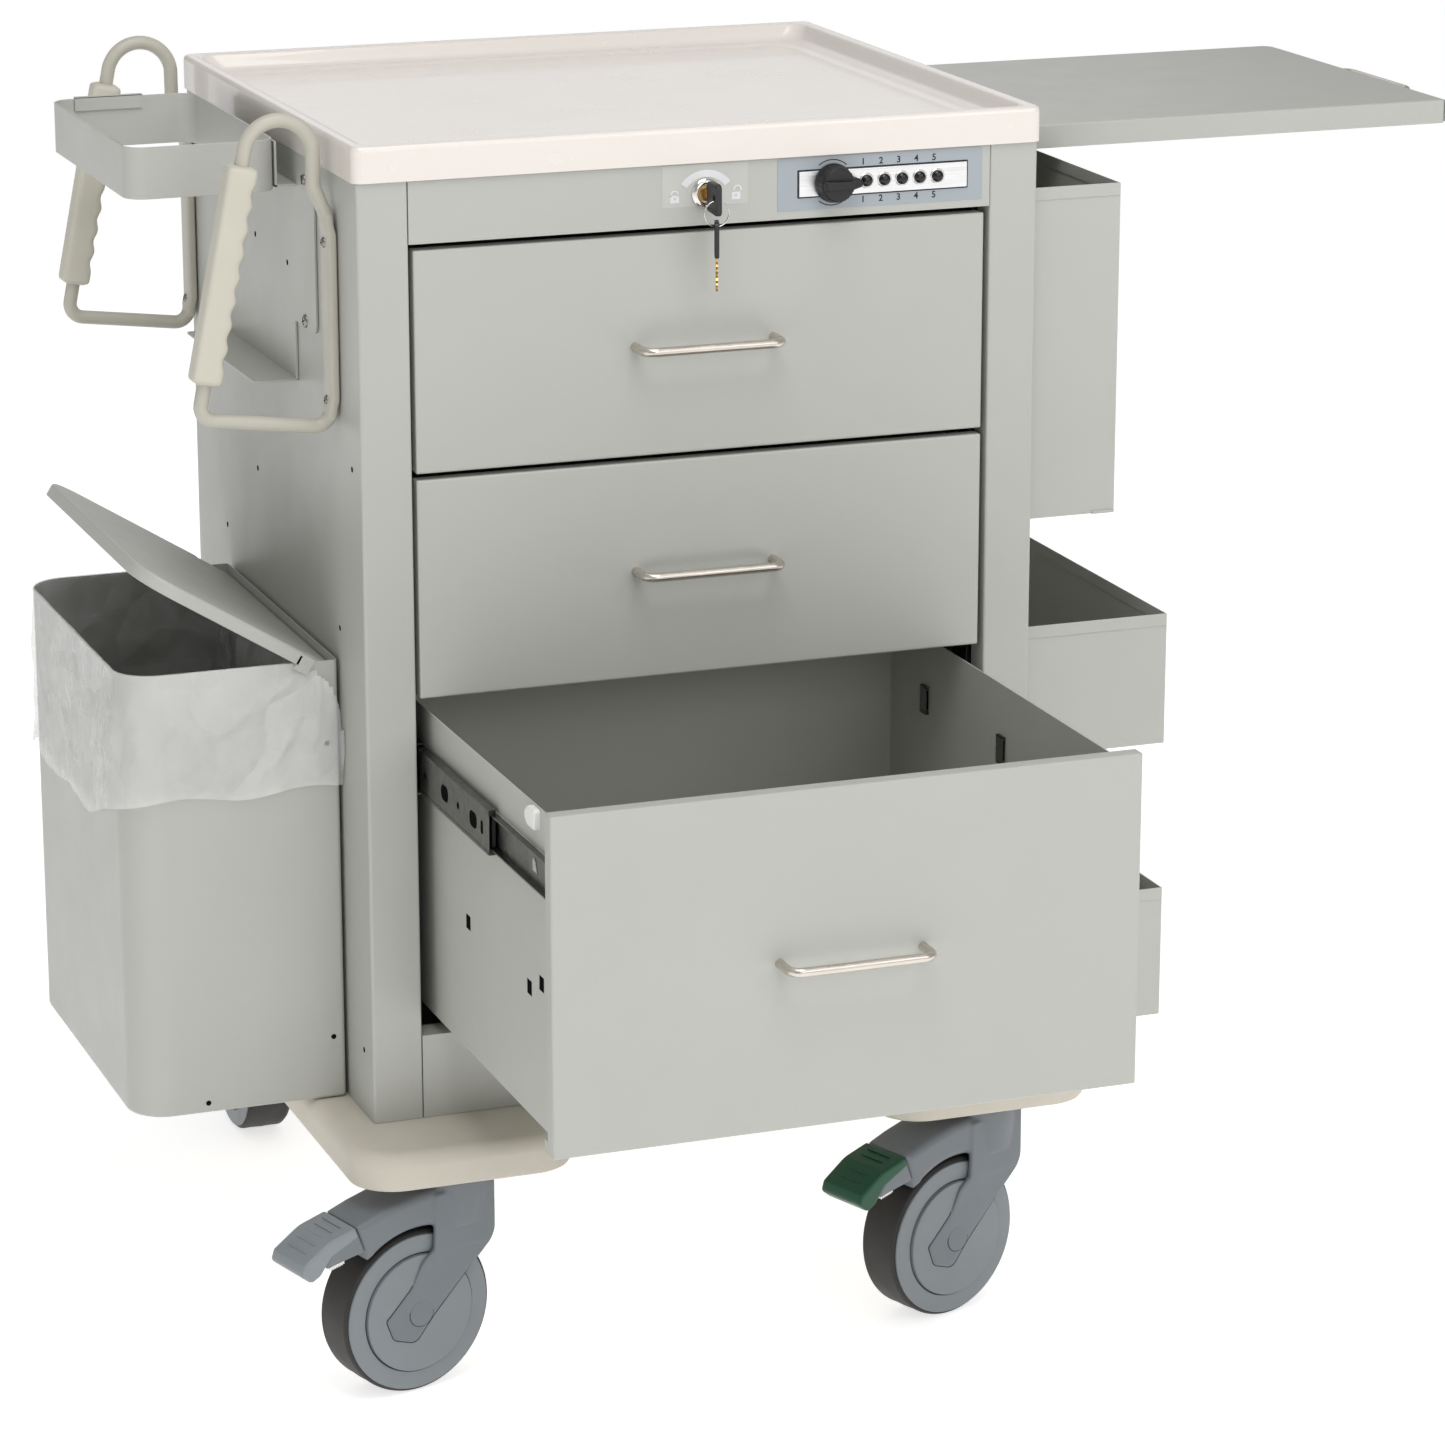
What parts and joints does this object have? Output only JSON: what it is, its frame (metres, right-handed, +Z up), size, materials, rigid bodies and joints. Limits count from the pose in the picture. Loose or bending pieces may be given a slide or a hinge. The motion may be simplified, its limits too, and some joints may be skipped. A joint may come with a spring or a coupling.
{
  "type": "medication cart",
  "caption": "Steel medication cart with pull-out drawers, a tray top, a slide-out side shelf, push handles, a sharps bracket, a lidded waste bin, side bins and swivel casters.",
  "frame": {"origin": "middle of the bounding box at floor level, between the casters", "axes": "+X to the cart's right seen from the drawers, the side the shelf slides out; +Y to the back, away from the drawers; +Z up"},
  "size_m": [1.3262, 1.0918, 1.1171],
  "materials": {
    "cabinet_paint": "satin powder coat, light warm gray",
    "tray_plastic": "moulded, glossy cream white",
    "bumper_plastic": "moulded, fine matte grain, beige",
    "pull_steel": "brushed lengthwise, warm stainless",
    "slide_steel": "zinc plated, lightly oiled",
    "handle_coating": "smooth beige-gray coating",
    "grip_plastic": "soft matte plastic, beige-gray",
    "liner_film": "thin translucent film, crinkled",
    "lock_chrome": "polished",
    "key_black": "moulded key head",
    "code_plate": "brushed lengthwise",
    "knob_black": "matte moulded",
    "button_black": "glossy dome",
    "caster_plastic": "blue-gray moulded nylon",
    "tyre_rubber": "dark gray-brown tread",
    "pedal_gray": "light gray moulded",
    "pedal_green": "dark green moulded"
  },
  "bodies": {
    "cart": {"side_panel_left": "cabinet_paint", "side_panel_right": "cabinet_paint", "back_panel": "cabinet_paint", "bottom_panel": "cabinet_paint", "header_panel": "cabinet_paint", "top_tray": "tray_plastic", "base_bumper": "bumper_plastic", "slide_frame_left": "slide_steel", "slide_frame_right": "slide_steel", "shelf_tracks": "slide_steel", "push_handle_front": "handle_coating", "push_handle_rear": "handle_coating", "handle_grip_front": "grip_plastic", "handle_grip_rear": "grip_plastic", "sharps_ring": "cabinet_paint", "sharps_bracket": "cabinet_paint", "waste_bin": "cabinet_paint", "waste_liner": "liner_film", "side_bin_upper": "cabinet_paint", "side_bin_middle": "cabinet_paint", "side_bin_lower": "cabinet_paint", "keylock_barrel": "lock_chrome", "code_lock_plate": "code_plate"},
    "drawer_top": {"drawer_box_top": "cabinet_paint", "drawer_front_top": "cabinet_paint", "drawer_pull_top": "pull_steel"},
    "slides_top": {"slide_rail_top_left": "slide_steel", "slide_rail_top_right": "slide_steel"},
    "drawer_middle": {"drawer_box_middle": "cabinet_paint", "drawer_front_middle": "cabinet_paint", "drawer_pull_middle": "pull_steel"},
    "slides_middle": {"slide_rail_middle_left": "slide_steel", "slide_rail_middle_right": "slide_steel"},
    "drawer_bottom": {"drawer_box_bottom": "cabinet_paint", "drawer_front_bottom": "cabinet_paint", "drawer_pull_bottom": "pull_steel"},
    "slides_bottom": {"slide_rail_bottom_left": "slide_steel", "slide_rail_bottom_right": "slide_steel"},
    "shelf": {"side_shelf": "cabinet_paint", "shelf_pull": "pull_steel"},
    "lid": {"waste_lid": "cabinet_paint"},
    "key": {"key": "key_black"},
    "key_bunch": {"key_ring": "lock_chrome"},
    "knob": {"code_knob": "knob_black"},
    "button_1": {"code_button_1": "button_black"},
    "button_2": {"code_button_2": "button_black"},
    "button_3": {"code_button_3": "button_black"},
    "button_4": {"code_button_4": "button_black"},
    "button_5": {"code_button_5": "button_black"},
    "caster_front_left": {"caster_fork_front_left": "caster_plastic"},
    "wheel_front_left": {"caster_wheel_front_left": "tyre_rubber"},
    "caster_front_right": {"caster_fork_front_right": "caster_plastic"},
    "wheel_front_right": {"caster_wheel_front_right": "tyre_rubber"},
    "caster_rear_left": {"caster_fork_rear_left": "caster_plastic"},
    "wheel_rear_left": {"caster_wheel_rear_left": "tyre_rubber"},
    "caster_rear_right": {"caster_fork_rear_right": "caster_plastic"},
    "wheel_rear_right": {"caster_wheel_rear_right": "tyre_rubber"},
    "brake_pedal": {"brake_pedal": "pedal_gray"},
    "tracking_pedal": {"tracking_pedal": "pedal_green"}
  },
  "joints": [
    {"name": "drawer_top_slide", "type": "slide", "parent": "cart", "child": "drawer_top", "axis": [0, -1, 0], "range_m": [0, 0.45]},
    {"name": "slides_top_run", "type": "slide", "parent": "cart", "child": "slides_top", "axis": [0, -1, 0], "range_m": [0, 0.257]},
    {"name": "drawer_middle_slide", "type": "slide", "parent": "cart", "child": "drawer_middle", "axis": [0, -1, 0], "range_m": [0, 0.45]},
    {"name": "slides_middle_run", "type": "slide", "parent": "cart", "child": "slides_middle", "axis": [0, -1, 0], "range_m": [0, 0.257]},
    {"name": "drawer_bottom_slide", "type": "slide", "parent": "cart", "child": "drawer_bottom", "axis": [0, -1, 0], "range_m": [-0.35, 0.1]},
    {"name": "slides_bottom_run", "type": "slide", "parent": "cart", "child": "slides_bottom", "axis": [0, -1, 0], "range_m": [-0.2, 0.0575]},
    {"name": "side_shelf_slide", "type": "slide", "parent": "cart", "child": "shelf", "axis": [1, 0, 0], "range_m": [-0.47, 0]},
    {"name": "waste_lid_hinge", "type": "hinge", "parent": "cart", "child": "lid", "pos_m": [-0.50005, 0.09328, 0.6315], "axis": [0, 1, 0], "range_deg": [-32, 48]},
    {"name": "key_turn", "type": "hinge", "parent": "cart", "child": "key", "pos_m": [-0.15385, -0.16522, 1.0387], "axis": [0, 1, 0], "range_deg": [-45, 45]},
    {"name": "key_ring_swing", "type": "hinge", "parent": "key", "child": "key_bunch", "pos_m": [-0.15385, -0.19222, 1.0366], "axis": [1, 0, 0], "range_deg": [-30, 12]},
    {"name": "code_knob_turn", "type": "hinge", "parent": "cart", "child": "knob", "pos_m": [-0.03755, -0.16522, 1.041], "axis": [0, 1, 0], "range_deg": [-45, 45]},
    {"name": "code_button_1_press", "type": "slide", "parent": "cart", "child": "button_1", "axis": [0, 1, 0], "range_m": [0, 0.003], "stiffness_N_per_m": 200},
    {"name": "code_button_2_press", "type": "slide", "parent": "cart", "child": "button_2", "axis": [0, 1, 0], "range_m": [0, 0.003], "stiffness_N_per_m": 200},
    {"name": "code_button_3_press", "type": "slide", "parent": "cart", "child": "button_3", "axis": [0, 1, 0], "range_m": [0, 0.003], "stiffness_N_per_m": 200},
    {"name": "code_button_4_press", "type": "slide", "parent": "cart", "child": "button_4", "axis": [0, 1, 0], "range_m": [0, 0.003], "stiffness_N_per_m": 200},
    {"name": "code_button_5_press", "type": "slide", "parent": "cart", "child": "button_5", "axis": [0, 1, 0], "range_m": [0, 0.003], "stiffness_N_per_m": 200},
    {"name": "caster_front_left_swivel", "type": "hinge", "parent": "cart", "child": "caster_front_left", "pos_m": [-0.40755, -0.19522, 0.17], "axis": [0, 0, 1], "continuous": true},
    {"name": "wheel_front_left_roll", "type": "hinge", "parent": "caster_front_left", "child": "wheel_front_left", "pos_m": [-0.4538, -0.20805, 0.075], "axis": [0.2672, -0.9636, 0], "continuous": true},
    {"name": "caster_front_right_swivel", "type": "hinge", "parent": "cart", "child": "caster_front_right", "pos_m": [0.09845, -0.19522, 0.17], "axis": [0, 0, 1], "continuous": true},
    {"name": "wheel_front_right_roll", "type": "hinge", "parent": "caster_front_right", "child": "wheel_front_right", "pos_m": [0.05349, -0.21203, 0.075], "axis": [0.3502, -0.9367, 0], "continuous": true},
    {"name": "caster_rear_left_swivel", "type": "hinge", "parent": "cart", "child": "caster_rear_left", "pos_m": [-0.40755, 0.42278, 0.17], "axis": [0, 0, 1], "continuous": true},
    {"name": "wheel_rear_left_roll", "type": "hinge", "parent": "caster_rear_left", "child": "wheel_rear_left", "pos_m": [-0.40755, 0.47078, 0.075], "axis": [-1, 0, 0], "continuous": true},
    {"name": "caster_rear_right_swivel", "type": "hinge", "parent": "cart", "child": "caster_rear_right", "pos_m": [0.09845, 0.42278, 0.17], "axis": [0, 0, 1], "continuous": true},
    {"name": "wheel_rear_right_roll", "type": "hinge", "parent": "caster_rear_right", "child": "wheel_rear_right", "pos_m": [0.10843, 0.46973, 0.075], "axis": [-0.9781, 0.2079, 0], "continuous": true},
    {"name": "brake_pedal_press", "type": "hinge", "parent": "caster_front_left", "child": "brake_pedal", "pos_m": [-0.50295, -0.22168, 0.146], "axis": [0.2672, -0.9636, 0], "range_deg": [0, 10]},
    {"name": "tracking_pedal_press", "type": "hinge", "parent": "caster_front_right", "child": "tracking_pedal", "pos_m": [0.00572, -0.22989, 0.146], "axis": [0.3502, -0.9367, 0], "range_deg": [0, 10]}
  ],
  "couplings": [
    {"joint": "slides_top_run", "follows": "drawer_top_slide", "ratio": 0.57},
    {"joint": "slides_middle_run", "follows": "drawer_middle_slide", "ratio": 0.57},
    {"joint": "slides_bottom_run", "follows": "drawer_bottom_slide", "ratio": 0.57}
  ]
}
